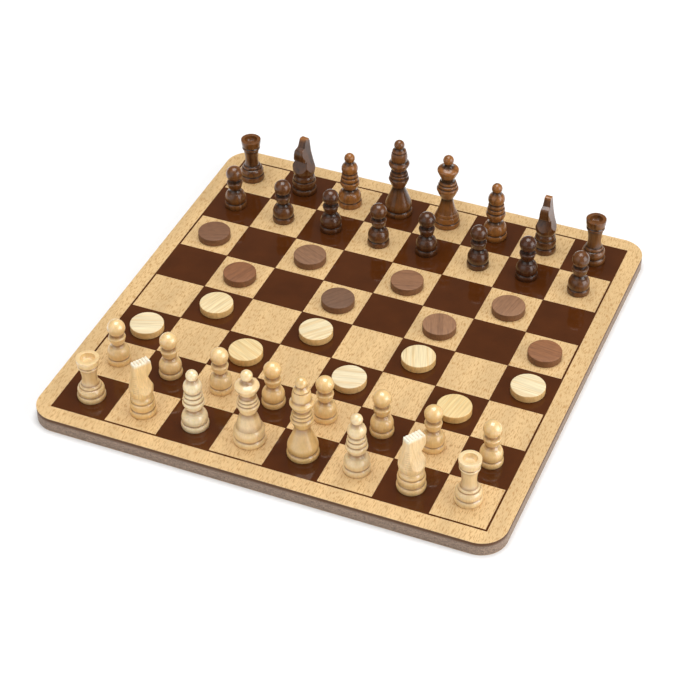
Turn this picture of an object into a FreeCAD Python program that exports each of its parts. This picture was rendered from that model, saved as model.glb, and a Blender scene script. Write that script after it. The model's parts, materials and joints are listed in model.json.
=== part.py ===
"""A chess and draughts set: a flat printed board with turned chessmen and round draughtsmen standing on it.

Millimetres, +Z up. The origin is the middle of the board's underside. +X runs along the ranks from the
a file to the h file, and +Y runs from the light player's side to the dark player's side.
"""
import FreeCAD, Part
import math
import os

# Board
SQUARE = 38.0
SQUARES_PER_SIDE = 8
BORDER = 13.0
CORNER_RADIUS = 18.0
CORE_THICKNESS = 10.0
TOP_SHEET_THICKNESS = 0.3
BACK_SHEET_THICKNESS = 0.3

# Dark screen print: one film of ink with a window for every light square
INK_THICKNESS = 0.1
INK_BLEED = 0.2
FRAME_LINE_WIDTH = 1.1

# Chessmen: foot diameter, height, and the diameter of the ball on top
PAWN_DIAMETER = 16.2
PAWN_HEIGHT = 34.6
PAWN_BALL_DIAMETER = 12.2

ROOK_DIAMETER = 18.6
ROOK_HEIGHT = 35.6
ROOK_CUP_DIAMETER = 9.6
ROOK_CUP_DEPTH = 3.6

BISHOP_DIAMETER = 18.4
BISHOP_HEIGHT = 46.8
BISHOP_BALL_DIAMETER = 8.0

QUEEN_DIAMETER = 21.8
QUEEN_HEIGHT = 58.8
QUEEN_BALL_DIAMETER = 8.0

SLIM_QUEEN_DIAMETER = 20.0
SLIM_QUEEN_HEIGHT = 60.2
SLIM_QUEEN_BALL_DIAMETER = 7.9

KING_DIAMETER = 21.6
KING_HEIGHT = 64.4
KING_BALL_DIAMETER = 8.0

# Knights: a turned base with a blind socket, and a carved head glued into it by a round tenon
KNIGHT_DIAMETER = 19.0
KNIGHT_BASE_HEIGHT = 15.4
KNIGHT_HEAD_HEIGHT = 31.4
KNIGHT_HEAD_REACH = 8.3
KNIGHT_HEAD_WIDTH = 17.4
TENON_DIAMETER = 6.0
TENON_LENGTH = 6.0
GLUE_GAP = 0.1
MANE_GROOVES = 9
MANE_GROOVE_DEPTH = 0.35
MANE_GROOVE_WIDTH = 0.8
CREST_NOTCHES = 5
CREST_NOTCH_DEPTH = 0.6
CREST_NOTCH_WIDTH = 1.3

# Draughtsmen
MAN_DIAMETER = 23.6
MAN_THICKNESS = 5.6
MAN_CHAMFER = 0.35

# Room that cutting shapes run past what they cut
OVERRUN = 1.0

# Turned outlines, from the foot up. Each row ends a line or an arc at a share of the foot's radius and a
# share of the height where the ball, cup or head begins. An arc's last number is its bulge, the tangent
# of a quarter of its angle, positive where the arc swells outwards.
PAWN_SHARES = [
    ("line", 0.96, 0.0),
    ("arc", 0.96, 0.165, 0.2),
    ("line", 0.87, 0.188),
    ("line", 0.91, 0.204),
    ("arc", 0.73, 0.535, 0.25),
    ("arc", 0.47, 0.635, -0.16),
    ("line", 0.48, 0.65),
    ("arc", 0.7, 0.845, 0.16),
    ("arc", 0.66, 0.92, 0.4),
    ("line", 0.46, 0.95),
]
PAWN_NECK_SHARE = 0.64

ROOK_SHARES = [
    ("line", 0.96, 0.0),
    ("arc", 0.96, 0.11, 0.22),
    ("line", 0.87, 0.13),
    ("line", 0.92, 0.145),
    ("arc", 0.82, 0.285, 0.26),
    ("line", 0.74, 0.295),
    ("arc", 0.68, 0.355, 0.26),
    ("line", 0.62, 0.364),
    ("arc", 0.53, 0.51, -0.08),
    ("arc", 0.65, 0.75, -0.06),
    ("line", 0.62, 0.76),
    ("line", 0.7, 0.772),
    ("arc", 0.71, 0.822, 0.4),
    ("line", 0.66, 0.836),
    ("line", 0.75, 0.85),
    ("arc", 0.81, 1.0, 0.05),
]
ROOK_CUP_FLOOR_SHARE = 0.72
ROOK_CUP_BULGE_SHARE = 0.2

BISHOP_SHARES = [
    ("line", 0.96, 0.0),
    ("arc", 0.96, 0.1, 0.22),
    ("line", 0.87, 0.117),
    ("line", 0.91, 0.128),
    ("arc", 0.74, 0.305, 0.25),
    ("arc", 0.49, 0.362, -0.15),
    ("line", 0.5, 0.376),
    ("arc", 0.75, 0.473, 0.1),
    ("arc", 0.74, 0.553, 0.3),
    ("line", 0.67, 0.566),
    ("arc", 0.69, 0.645, 0.28),
    ("line", 0.61, 0.657),
    ("arc", 0.63, 0.727, 0.28),
    ("line", 0.53, 0.742),
    ("arc", 0.44, 0.952, 0.42),
]
BISHOP_NECK_SHARE = 0.75

QUEEN_SHARES = [
    ("line", 0.96, 0.0),
    ("arc", 0.96, 0.075, 0.22),
    ("line", 0.88, 0.089),
    ("line", 0.92, 0.1),
    ("arc", 0.84, 0.238, 0.2),
    ("line", 0.78, 0.247),
    ("arc", 0.46, 0.469, 0.05),
    ("arc", 0.68, 0.584, 0.05),
    ("arc", 0.645, 0.622, 0.38),
    ("line", 0.59, 0.631),
    ("arc", 0.6, 0.672, 0.36),
    ("line", 0.545, 0.68),
    ("arc", 0.54, 0.719, 0.36),
    ("line", 0.48, 0.728),
    ("line", 0.47, 0.776),
    ("arc", 0.7, 0.868, 0.1),
    ("arc", 0.66, 0.924, 0.45),
    ("arc", 0.38, 0.95, 0.06),
    ("line", 0.28, 0.972),
]
QUEEN_NECK_SHARE = 0.72

SLIM_QUEEN_SHARES = [
    ("line", 0.96, 0.0),
    ("arc", 0.96, 0.065, 0.22),
    ("line", 0.88, 0.079),
    ("line", 0.95, 0.095),
    ("arc", 0.86, 0.157, 0.06),
    ("line", 0.82, 0.164),
    ("arc", 0.75, 0.205, 0.05),
    ("line", 0.71, 0.213),
    ("arc", 0.42, 0.437, -0.06),
    ("arc", 0.78, 0.575, 0.06),
    ("arc", 0.74, 0.616, 0.38),
    ("line", 0.67, 0.626),
    ("arc", 0.68, 0.665, 0.36),
    ("line", 0.59, 0.674),
    ("arc", 0.58, 0.713, 0.36),
    ("line", 0.5, 0.724),
    ("line", 0.49, 0.773),
    ("arc", 0.74, 0.866, 0.1),
    ("arc", 0.7, 0.926, 0.45),
    ("arc", 0.42, 0.948, 0.06),
    ("line", 0.31, 0.968),
]
SLIM_QUEEN_NECK_SHARE = 0.73

KING_SHARES = [
    ("line", 0.96, 0.0),
    ("arc", 0.96, 0.063, 0.22),
    ("line", 0.88, 0.077),
    ("line", 0.92, 0.088),
    ("arc", 0.88, 0.19, 0.18),
    ("arc", 0.43, 0.407, -0.02),
    ("arc", 0.69, 0.517, 0.05),
    ("arc", 0.67, 0.55, 0.4),
    ("line", 0.6, 0.56),
    ("arc", 0.63, 0.602, 0.3),
    ("line", 0.55, 0.611),
    ("arc", 0.555, 0.64, 0.4),
    ("line", 0.43, 0.652),
    ("line", 0.43, 0.664),
    ("arc", 0.69, 0.74, 0.12),
    ("arc", 0.67, 0.79, 0.42),
    ("line", 0.56, 0.81),
    ("arc", 0.52, 0.931, 0.12),
    ("line", 0.46, 0.938),
    ("arc", 0.44, 0.972, 0.4),
]
KING_NECK_SHARE = 0.8

KNIGHT_BASE_SHARES = [
    ("line", 0.96, 0.0),
    ("arc", 0.96, 0.27, 0.22),
    ("line", 0.87, 0.305),
    ("arc", 0.92, 0.69, 0.2),
    ("line", 0.85, 0.725),
    ("arc", 0.79, 0.965, 0.24),
    ("line", 0.75, 1.0),
]

# The knight's head before carving, turned: shares of half the head's width and of its height
HEAD_BLANK_SHARES = [
    ("line", 0.84, 0.0),
    ("arc", 0.99, 0.15, 0.12),
    ("arc", 0.97, 0.32, 0.05),
    ("line", 0.99, 0.5),
    ("line", 0.99, 0.8),
    ("line", 0.8, 1.0),
]

# The two side outlines of the heads, from the breast round to the nape: shares of the reach and of the
# height. The light heads have a level crest, and the dark ones a brow that stands above the nose.
CREST_SHARE = 0.87
LEVEL_HEAD_SHARES = [
    ("line", 1.2, 0.0),
    ("line", 1.2, 0.1),
    ("line", 1.04, 0.2),
    ("arc", 0.48, 0.52, -0.06),
    ("line", 0.86, 0.63),
    ("arc", 0.95, 0.7, 0.2),
    ("line", 0.93, 0.85),
    ("line", 0.87, CREST_SHARE),
    ("line", -0.62, CREST_SHARE),
    ("line", -0.72, 0.7),
    ("line", -0.96, 0.25),
    ("line", -1.2, 0.1),
    ("line", -1.2, 0.0),
]

BROWED_HEAD_SHARES = [
    ("line", 1.2, 0.0),
    ("line", 1.2, 0.1),
    ("line", 1.04, 0.14),
    ("arc", 0.44, 0.42, -0.05),
    ("line", 0.46, 0.445),
    ("line", 0.74, 0.45),
    ("arc", 0.92, 0.56, 0.3),
    ("arc", 0.84, 0.735, 0.1),
    ("line", 0.76, 0.757),
    ("line", 0.36, 0.79),
    ("line", 0.1, 0.985),
    ("line", -0.02, 1.0),
    ("line", -0.42, 0.985),
    ("line", -0.6, 0.86),
    ("line", -0.74, 0.68),
    ("line", -1.0, 0.25),
    ("line", -1.2, 0.1),
    ("line", -1.2, 0.0),
]

# What is planed off the head: the way each flat faces, in degrees from straight ahead, and its slope from
# the foot up as shares of half the head's width and of the height
FLANK_TURN = 90.0
FLANK_SHARES = [
    ("line", 1.05, 0.11),
    ("arc", 0.6, 0.43, -0.06),
    ("line", 0.47, 0.6),
    ("line", 0.34, 0.85),
    ("line", 0.31, 1.03),
]
JAW_TURN = 76.0
JAW_SHARES = [
    ("line", 0.75, 0.43),
    ("line", 0.66, 0.5),
    ("line", 0.6, 0.8),
    ("line", 0.52, 1.03),
]
MANE_TURN = 142.0
MANE_SHARES = [
    ("line", 1.02, 0.12),
    ("line", 0.92, 0.27),
    ("line", 0.8, 0.45),
    ("line", 0.68, 0.63),
    ("line", 0.62, 0.85),
    ("line", 0.6, 1.03),
]
FLAT_OUTER_SHARE = 1.5

# The mane's grooves run up its flats between these shares of half the head's width and of its height
MANE_LOW_SHARES = (0.967, 0.2)
MANE_HIGH_SHARES = (0.707, 0.59)

# The notches in a level crest lie between these shares of the reach, from the nape to the brow
CREST_NOTCH_SHARES = (-0.42, 0.66)

# Where the pieces stand: node, kind, square, how far right and away from the square's middle as shares of
# a square, and girth and height as shares of the kind's own, because hand-turned pieces differ a little
TURNED_SHARES = [
    ("light_rook_left", "rook", "a1", 0.01, -0.02, 1.04, 0.94),
    ("light_bishop_left", "bishop", "c1", 0.02, -0.01, 1.01, 1.0),
    ("light_queen", "queen", "d1", 0.04, 0.015, 1.0, 1.0),
    ("light_king", "king", "e1", 0.025, 0.04, 1.0, 1.0),
    ("light_bishop_right", "bishop", "f1", 0.015, 0.03, 0.99, 1.0),
    ("light_rook_right", "rook", "h1", -0.005, 0.06, 0.99, 1.0),
    ("light_pawn_1", "pawn", "a2", 0.01, 0.02, 1.0, 1.0),
    ("light_pawn_2", "pawn", "b2", 0.03, 0.04, 1.0, 1.0),
    ("light_pawn_3", "pawn", "c2", 0.03, 0.01, 1.0, 1.0),
    ("light_pawn_4", "pawn", "d2", 0.035, 0.025, 1.0, 1.0),
    ("light_pawn_5", "pawn", "e2", 0.02, 0.02, 1.0, 1.0),
    ("light_pawn_6", "pawn", "f2", 0.06, 0.05, 1.0, 1.0),
    ("light_pawn_7", "pawn", "g2", 0.0, 0.03, 1.0, 1.0),
    ("light_pawn_8", "pawn", "h2", 0.04, 0.05, 1.0, 1.0),
    ("dark_rook_left", "rook", "a8", -0.13, 0.03, 0.98, 0.98),
    ("dark_bishop_left", "bishop", "c8", 0.02, -0.05, 0.99, 0.96),
    ("dark_king", "king", "d8", 0.01, 0.05, 0.97, 0.99),
    ("dark_queen", "slim_queen", "e8", 0.01, 0.06, 1.0, 1.0),
    ("dark_bishop_right", "bishop", "f8", 0.02, 0.01, 0.97, 1.0),
    ("dark_rook_right", "rook", "h8", -0.01, 0.01, 0.96, 1.03),
    ("dark_pawn_1", "pawn", "a7", -0.04, 0.05, 1.0, 1.0),
    ("dark_pawn_2", "pawn", "b7", 0.02, -0.02, 1.0, 1.0),
    ("dark_pawn_3", "pawn", "c7", 0.0, 0.04, 1.0, 1.0),
    ("dark_pawn_4", "pawn", "d7", 0.02, -0.03, 1.0, 1.0),
    ("dark_pawn_5", "pawn", "e7", -0.03, 0.06, 1.0, 1.0),
    ("dark_pawn_6", "pawn", "f7", 0.02, 0.04, 1.0, 1.0),
    ("dark_pawn_7", "pawn", "g7", -0.02, 0.06, 1.0, 1.0),
    ("dark_pawn_8", "pawn", "h7", 0.02, 0.0, 1.0, 1.0),
    ("light_man_1", "man", "a3", 0.08, -0.02, 1.0, 1.0),
    ("light_man_2", "man", "b4", 0.0, -0.01, 1.0, 1.0),
    ("light_man_3", "man", "c3", 0.06, -0.02, 1.0, 1.0),
    ("light_man_4", "man", "d4", 0.0, -0.02, 1.0, 1.0),
    ("light_man_5", "man", "e3", 0.06, 0.0, 1.0, 1.0),
    ("light_man_6", "man", "f4", -0.01, -0.02, 1.0, 1.0),
    ("light_man_7", "man", "g3", 0.04, -0.02, 1.0, 1.0),
    ("light_man_8", "man", "h4", 0.05, -0.03, 1.0, 1.0),
    ("dark_man_1", "man", "a6", 0.02, -0.05, 1.0, 1.0),
    ("dark_man_2", "man", "b5", 0.01, -0.02, 1.0, 1.0),
    ("dark_man_3", "man", "c6", 0.02, -0.03, 1.0, 1.0),
    ("dark_man_4", "man", "d5", 0.02, -0.04, 1.0, 1.0),
    ("dark_man_5", "man", "e6", 0.01, -0.06, 1.0, 1.0),
    ("dark_man_6", "man", "f5", 0.02, -0.04, 1.0, 1.0),
    ("dark_man_7", "man", "g6", 0.01, -0.06, 1.0, 1.0),
    ("dark_man_8", "man", "h5", 0.03, -0.03, 1.0, 1.0),
]

# The knights also have the way they face, in degrees from +X, and the outline and notches of their heads
KNIGHT_SHARES = [
    ("light_knight_left", "b1", 0.03, -0.035, 0.94, 56.0, LEVEL_HEAD_SHARES, CREST_NOTCHES),
    ("light_knight_right", "g1", 0.01, -0.01, 1.02, 56.0, LEVEL_HEAD_SHARES, CREST_NOTCHES),
    ("dark_knight_left", "b8", 0.015, 0.015, 0.98, -100.0, BROWED_HEAD_SHARES, 0),
    ("dark_knight_right", "g8", 0.04, -0.03, 0.88, -92.0, BROWED_HEAD_SHARES, 0),
]

FIELD = SQUARE * SQUARES_PER_SIDE
BOARD_SIDE = FIELD + 2 * BORDER
CORE_TOP = BACK_SHEET_THICKNESS + CORE_THICKNESS
BOARD_TOP = CORE_TOP + TOP_SHEET_THICKNESS
FILES = "abcdefgh"
UP = FreeCAD.Vector(0, 0, 1)


def point(across, up):
    """A point in the upright plane through the X axis."""
    return FreeCAD.Vector(across, 0, up)


def arc_edge(start, end, bulge):
    """An arc between two points of the upright plane, swelling to the right of its way by its bulge."""
    chord = end - start
    side = FreeCAD.Vector(chord.z, 0, -chord.x)
    middle = (start + end) * 0.5 + side * (0.5 * bulge)
    return Part.Arc(start, middle, end).toShape()


def trace(rows, start, width, height):
    """Edges from a start point through rows of shares of a width and a height."""
    edges = []
    here = start
    for kind, width_share, height_share, *bulge in rows:
        there = point(width_share * width, height_share * height)
        if kind == "line":
            edges.append(Part.LineSegment(here, there).toShape())
        else:
            edges.append(arc_edge(here, there, bulge[0]))
        here = there
    return edges, here


def revolve(edges):
    """The solid that a closed half outline sweeps round the Z axis."""
    face = Part.Face(Part.Wire(edges))
    return face.revolve(point(0, 0), UP, 360)


def turned_with_ball(rows, radius, height, ball_radius, neck_share):
    """A turned piece that ends in a ball standing on its neck."""
    centre = height - ball_radius
    neck_radius = neck_share * ball_radius
    neck_height = centre - math.sqrt(ball_radius ** 2 - neck_radius ** 2)
    edges, here = trace(rows, point(0, 0), radius, neck_height)
    neck = point(neck_radius, neck_height)
    edges.append(Part.LineSegment(here, neck).toShape())
    top = point(0, height)
    edges.append(Part.Arc(neck, point(ball_radius, centre), top).toShape())
    edges.append(Part.LineSegment(top, point(0, 0)).toShape())
    return revolve(edges)


def pawn(girth, tall):
    return turned_with_ball(
        PAWN_SHARES, PAWN_DIAMETER / 2 * girth, PAWN_HEIGHT * tall,
        PAWN_BALL_DIAMETER / 2 * girth, PAWN_NECK_SHARE)


def bishop(girth, tall):
    return turned_with_ball(
        BISHOP_SHARES, BISHOP_DIAMETER / 2 * girth, BISHOP_HEIGHT * tall,
        BISHOP_BALL_DIAMETER / 2 * girth, BISHOP_NECK_SHARE)


def queen(girth, tall):
    return turned_with_ball(
        QUEEN_SHARES, QUEEN_DIAMETER / 2 * girth, QUEEN_HEIGHT * tall,
        QUEEN_BALL_DIAMETER / 2 * girth, QUEEN_NECK_SHARE)


def slim_queen(girth, tall):
    return turned_with_ball(
        SLIM_QUEEN_SHARES, SLIM_QUEEN_DIAMETER / 2 * girth, SLIM_QUEEN_HEIGHT * tall,
        SLIM_QUEEN_BALL_DIAMETER / 2 * girth, SLIM_QUEEN_NECK_SHARE)


def king(girth, tall):
    return turned_with_ball(
        KING_SHARES, KING_DIAMETER / 2 * girth, KING_HEIGHT * tall,
        KING_BALL_DIAMETER / 2 * girth, KING_NECK_SHARE)


def rook(girth, tall):
    """A turned tower with a plain rim round a shallow cup."""
    height = ROOK_HEIGHT * tall
    cup_radius = ROOK_CUP_DIAMETER / 2 * girth
    floor_radius = cup_radius * ROOK_CUP_FLOOR_SHARE
    floor_height = height - ROOK_CUP_DEPTH
    edges, here = trace(ROOK_SHARES, point(0, 0), ROOK_DIAMETER / 2 * girth, height)
    lip = point(cup_radius, height)
    floor = point(floor_radius, floor_height)
    bottom = point(0, floor_height)
    edges.append(Part.LineSegment(here, lip).toShape())
    edges.append(arc_edge(lip, floor, -ROOK_CUP_BULGE_SHARE))
    edges.append(Part.LineSegment(floor, bottom).toShape())
    edges.append(Part.LineSegment(bottom, point(0, 0)).toShape())
    return revolve(edges)


def man(girth, tall):
    """A plain round draughtsman with its arrises broken."""
    disc = Part.makeCylinder(MAN_DIAMETER / 2 * girth, MAN_THICKNESS * tall)
    rims = [edge for edge in disc.Edges if edge.isClosed()]
    return disc.makeChamfer(MAN_CHAMFER, rims)


def knight_base(girth):
    """The knight's turned foot, with the socket for the head's tenon."""
    edges, here = trace(KNIGHT_BASE_SHARES, point(0, 0), KNIGHT_DIAMETER / 2 * girth, KNIGHT_BASE_HEIGHT)
    top = point(0, KNIGHT_BASE_HEIGHT)
    edges.append(Part.LineSegment(here, top).toShape())
    edges.append(Part.LineSegment(top, point(0, 0)).toShape())
    depth = TENON_LENGTH + GLUE_GAP
    socket = Part.makeCylinder(
        TENON_DIAMETER / 2 + GLUE_GAP, depth + OVERRUN, point(0, KNIGHT_BASE_HEIGHT - depth))
    return revolve(edges).cut(socket)


def head_blank(half_width):
    """The turned block that the head is carved from, with its foot at height zero."""
    edges, here = trace(HEAD_BLANK_SHARES, point(0, 0), half_width, KNIGHT_HEAD_HEIGHT)
    top = point(0, KNIGHT_HEAD_HEIGHT)
    edges.append(Part.LineSegment(here, top).toShape())
    edges.append(Part.LineSegment(top, point(0, 0)).toShape())
    return revolve(edges)


def head_side(rows, reach):
    """A head's side outline as a prism right across the block. +X is the way the knight faces."""
    first = rows[0]
    start = point(first[1] * reach, first[2] * KNIGHT_HEAD_HEIGHT)
    edges, here = trace(rows[1:], start, reach, KNIGHT_HEAD_HEIGHT)
    edges.append(Part.LineSegment(here, start).toShape())
    face = Part.Face(Part.Wire(edges))
    prism = face.extrude(FreeCAD.Vector(0, KNIGHT_HEAD_WIDTH, 0))
    prism.translate(FreeCAD.Vector(0, -KNIGHT_HEAD_WIDTH / 2, 0))
    return prism


def planing_cutter(edges, turn, half_width):
    """A cutter right across the block, from its outline, facing a way in degrees from straight ahead."""
    length = 4 * half_width
    cutter = Part.Face(Part.Wire(edges)).extrude(FreeCAD.Vector(0, length, 0))
    cutter.translate(FreeCAD.Vector(0, -length / 2, 0))
    cutter.rotate(point(0, 0), UP, turn)
    return cutter


def flat_cutter(rows, turn, half_width):
    """Planes one flat from its lowest row to its highest."""
    outer = FLAT_OUTER_SHARE * half_width
    low = point(outer, rows[0][2] * KNIGHT_HEAD_HEIGHT)
    high = point(outer, rows[-1][2] * KNIGHT_HEAD_HEIGHT)
    edges, here = trace(rows, low, half_width, KNIGHT_HEAD_HEIGHT)
    edges.append(Part.LineSegment(here, high).toShape())
    edges.append(Part.LineSegment(high, low).toShape())
    return planing_cutter(edges, turn, half_width)


def groove_cutter(share, turn, half_width):
    """Saws one V groove across a flat of the mane, at a share of the way up it."""
    out_share = MANE_LOW_SHARES[0] + (MANE_HIGH_SHARES[0] - MANE_LOW_SHARES[0]) * share
    up_share = MANE_LOW_SHARES[1] + (MANE_HIGH_SHARES[1] - MANE_LOW_SHARES[1]) * share
    surface = out_share * half_width
    height = up_share * KNIGHT_HEAD_HEIGHT
    rise = MANE_GROOVE_WIDTH / 2 * (OVERRUN + MANE_GROOVE_DEPTH) / MANE_GROOVE_DEPTH
    corners = [
        point(surface - MANE_GROOVE_DEPTH, height),
        point(surface + OVERRUN, height + rise),
        point(surface + OVERRUN, height - rise),
    ]
    edges = Part.makePolygon(corners + corners[:1]).Edges
    return planing_cutter(edges, turn, half_width)


def notch_cutter(share, reach, half_width):
    """Saws one V notch across a level crest, at a share of the way from the nape to the brow."""
    low_share, high_share = CREST_NOTCH_SHARES
    along = (low_share + (high_share - low_share) * share) * reach
    crest = CREST_SHARE * KNIGHT_HEAD_HEIGHT
    spread = CREST_NOTCH_WIDTH / 2 * (OVERRUN + CREST_NOTCH_DEPTH) / CREST_NOTCH_DEPTH
    corners = [
        point(along, crest - CREST_NOTCH_DEPTH),
        point(along + spread, crest + OVERRUN),
        point(along - spread, crest + OVERRUN),
    ]
    edges = Part.makePolygon(corners + corners[:1]).Edges
    return planing_cutter(edges, 0, half_width)


def knight_head(girth, rows, notches):
    """The carved head with its tenon, standing on the base's top."""
    half_width = KNIGHT_HEAD_WIDTH / 2 * girth
    reach = KNIGHT_HEAD_REACH * girth
    head = head_blank(half_width).common(head_side(rows, reach))
    for side in (1, -1):
        head = head.cut(flat_cutter(FLANK_SHARES, side * FLANK_TURN, half_width))
        head = head.cut(flat_cutter(JAW_SHARES, side * JAW_TURN, half_width))
        head = head.cut(flat_cutter(MANE_SHARES, side * MANE_TURN, half_width))
        for groove in range(MANE_GROOVES):
            share = groove / (MANE_GROOVES - 1)
            head = head.cut(groove_cutter(share, side * MANE_TURN, half_width))
    for notch in range(notches):
        head = head.cut(notch_cutter(notch / (notches - 1), reach, half_width))
    tenon = Part.makeCylinder(TENON_DIAMETER / 2, TENON_LENGTH, point(0, -TENON_LENGTH))
    head = head.fuse(tenon).removeSplitter()
    head.translate(UP * KNIGHT_BASE_HEIGHT)
    return head


def rounded_plate(side, radius, bottom, thickness):
    """A square plate with round corners, centred on the Z axis."""
    plate = Part.makeBox(side, side, thickness, FreeCAD.Vector(-side / 2, -side / 2, bottom))
    upright = [edge for edge in plate.Edges if abs(edge.tangentAt(edge.FirstParameter).z) > 0.5]
    return plate.makeFillet(radius, upright)


def ink_film():
    """The printed film: dark squares and the line round the field, with the light squares left open."""
    outer = FIELD + 2 * FRAME_LINE_WIDTH
    film = Part.makeBox(outer, outer, INK_THICKNESS, FreeCAD.Vector(-outer / 2, -outer / 2, BOARD_TOP))
    opening = SQUARE - 2 * INK_BLEED
    windows = []
    for column in range(SQUARES_PER_SIDE):
        for row in range(SQUARES_PER_SIDE):
            if is_dark(column, row):
                continue
            centre = square_centre(column, row)
            corner = FreeCAD.Vector(centre.x - opening / 2, centre.y - opening / 2, BOARD_TOP - OVERRUN)
            windows.append(Part.makeBox(opening, opening, INK_THICKNESS + 2 * OVERRUN, corner))
    return film.cut(windows)


def is_dark(column, row):
    """Dark squares are those whose column and row add up to an even number: a1 is dark."""
    return (column + row) % 2 == 0


def square_centre(column, row):
    half = SQUARES_PER_SIDE / 2 - 0.5
    return FreeCAD.Vector((column - half) * SQUARE, (row - half) * SQUARE, 0)


def standing_place(square, right_share, away_share):
    """Where a piece's foot is: on the ink on a dark square, and on the bare sheet on a light one."""
    column = FILES.index(square[0])
    row = int(square[1]) - 1
    place = square_centre(column, row) + FreeCAD.Vector(right_share * SQUARE, away_share * SQUARE, BOARD_TOP)
    if is_dark(column, row):
        place.z += INK_THICKNESS
    return place


def board_nodes():
    """The core, its two sheets and the print on the upper one."""
    core = rounded_plate(BOARD_SIDE, CORNER_RADIUS, BACK_SHEET_THICKNESS, CORE_THICKNESS)
    back = rounded_plate(BOARD_SIDE, CORNER_RADIUS, 0, BACK_SHEET_THICKNESS)
    top = rounded_plate(BOARD_SIDE, CORNER_RADIUS, CORE_TOP, TOP_SHEET_THICKNESS)
    return {"board_core": core, "back_sheet": back, "top_sheet": top, "dark_print": ink_film()}


def piece_nodes():
    """Every chessman and draughtsman at its place on the board."""
    makers = {
        "pawn": pawn, "rook": rook, "bishop": bishop, "queen": queen,
        "slim_queen": slim_queen, "king": king, "man": man,
    }
    nodes = {}
    for name, kind, square, right_share, away_share, girth, tall in TURNED_SHARES:
        shape = makers[kind](girth, tall)
        shape.translate(standing_place(square, right_share, away_share))
        nodes[name] = shape
    for name, square, right_share, away_share, girth, facing, rows, notches in KNIGHT_SHARES:
        place = standing_place(square, right_share, away_share)
        for piece, shape in (("base", knight_base(girth)), ("head", knight_head(girth, rows, notches))):
            shape.rotate(point(0, 0), UP, facing)
            shape.translate(place)
            nodes[name + "_" + piece] = shape
    return nodes


def main():
    os.makedirs("parts", exist_ok=True)
    nodes = {**board_nodes(), **piece_nodes()}
    for name, shape in nodes.items():
        if not shape.isValid() or len(shape.Solids) != 1:
            raise ValueError(name + " is not one valid solid")
        shape.exportStep("parts/" + name + ".step")
    print(len(nodes), "nodes")


if __name__ == "__main__":
    main()
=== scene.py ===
"""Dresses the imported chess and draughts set: turned chessmen, carved knights, draughtsmen and a printed board."""

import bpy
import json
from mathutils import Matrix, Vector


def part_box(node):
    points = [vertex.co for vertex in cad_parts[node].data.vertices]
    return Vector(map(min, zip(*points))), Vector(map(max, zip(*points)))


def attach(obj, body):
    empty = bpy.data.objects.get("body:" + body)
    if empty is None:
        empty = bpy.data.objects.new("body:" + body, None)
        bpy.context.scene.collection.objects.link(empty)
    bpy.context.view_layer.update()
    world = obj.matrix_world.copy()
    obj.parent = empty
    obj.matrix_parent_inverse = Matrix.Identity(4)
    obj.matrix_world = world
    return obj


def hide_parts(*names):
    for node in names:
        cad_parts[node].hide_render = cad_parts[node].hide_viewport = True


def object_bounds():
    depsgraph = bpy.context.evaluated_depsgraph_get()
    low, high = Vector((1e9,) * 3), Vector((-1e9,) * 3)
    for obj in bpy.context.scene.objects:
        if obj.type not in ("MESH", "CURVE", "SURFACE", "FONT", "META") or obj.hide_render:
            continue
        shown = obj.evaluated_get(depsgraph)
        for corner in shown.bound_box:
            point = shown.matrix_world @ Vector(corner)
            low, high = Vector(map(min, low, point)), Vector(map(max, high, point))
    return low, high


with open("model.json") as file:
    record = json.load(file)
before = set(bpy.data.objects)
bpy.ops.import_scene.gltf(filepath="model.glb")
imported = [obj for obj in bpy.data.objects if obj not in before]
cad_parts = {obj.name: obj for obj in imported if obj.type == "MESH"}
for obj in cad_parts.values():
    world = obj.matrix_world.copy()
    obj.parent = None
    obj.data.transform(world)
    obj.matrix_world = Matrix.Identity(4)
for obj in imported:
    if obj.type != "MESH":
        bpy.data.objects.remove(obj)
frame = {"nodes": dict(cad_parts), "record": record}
CAD_BOX = [list(corner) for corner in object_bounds()]

import json
import math

import bmesh
import bpy
from bpy.props import FloatProperty, FloatVectorProperty, IntProperty, PointerProperty
from mathutils import Matrix, Vector

bl_info = {
    "name": "Chess and draughts set",
    "version": (1, 0, 0),
    "blender": (4, 5, 0),
    "location": "View3D > Sidebar > Game set",
    "description": "Builds a printed board with turned chessmen, carved knights and draughtsmen",
    "category": "Object",
}

MM = 0.001
SIDES = ("light", "dark")
HANDS = ("left", "right")
PAWNS_A_SIDE = 8
BLACK = (0.0, 0.0, 0.0)
ORANGE = (1.0, 0.5, 0.0)

# Sockets of the mix node when it blends colours
MIX_SHARE, MIX_FIRST, MIX_SECOND, MIX_COLOUR = 0, 6, 7, 2
# The range in which nearly all of a noise lies
NOISE_LOW, NOISE_HIGH = 0.3, 0.7
# How far the painted shade hides the wood at the bottom of a groove
GROOVE_SHADE = 0.9

# Points that lie closer than this are welded, or left out of an outline, in metres
WELD = 1e-6
SAME_POINT = 1e-7
# How finely outlines are stepped, which of their corners are sanded and how much of a line that may take
ARC_STEP_DEGREES = 8
FEWEST_ARC_STEPS = 3
BALL_STEPS = 20
SHARP_CORNER = math.radians(14)
LARGEST_ROUND_SHARE = 0.4
# How far a carved surface is evened out to find the hollows that get painted shade, and how hard each pass of
# sanding is
HOLLOW_BLUR = 10
SANDING_SHARE = 0.5
# Which edges of a plate are softened, by how much of its thickness at most, and which faces count as level
ARRIS_CORNER = math.radians(60)
LARGEST_ARRIS_SHARE = 0.3
LEVEL = 0.99

# Where each soft light stands, where it points and how wide it is, in metres
LIGHTS = {
    "overhead": ((-0.12, 0.34, 3.0), (0.0, 0.0, 0.0), 2.1),
    "front": ((-0.7, -1.4, 0.9), (0.0, 0.0, 0.03), 1.8),
    "side": ((2.4, -0.16, 0.9), (0.0, 0.0, 0.03), 2.0),
}
# The camera's sensor, in millimetres
SENSOR_WIDTH = 36.0

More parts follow.
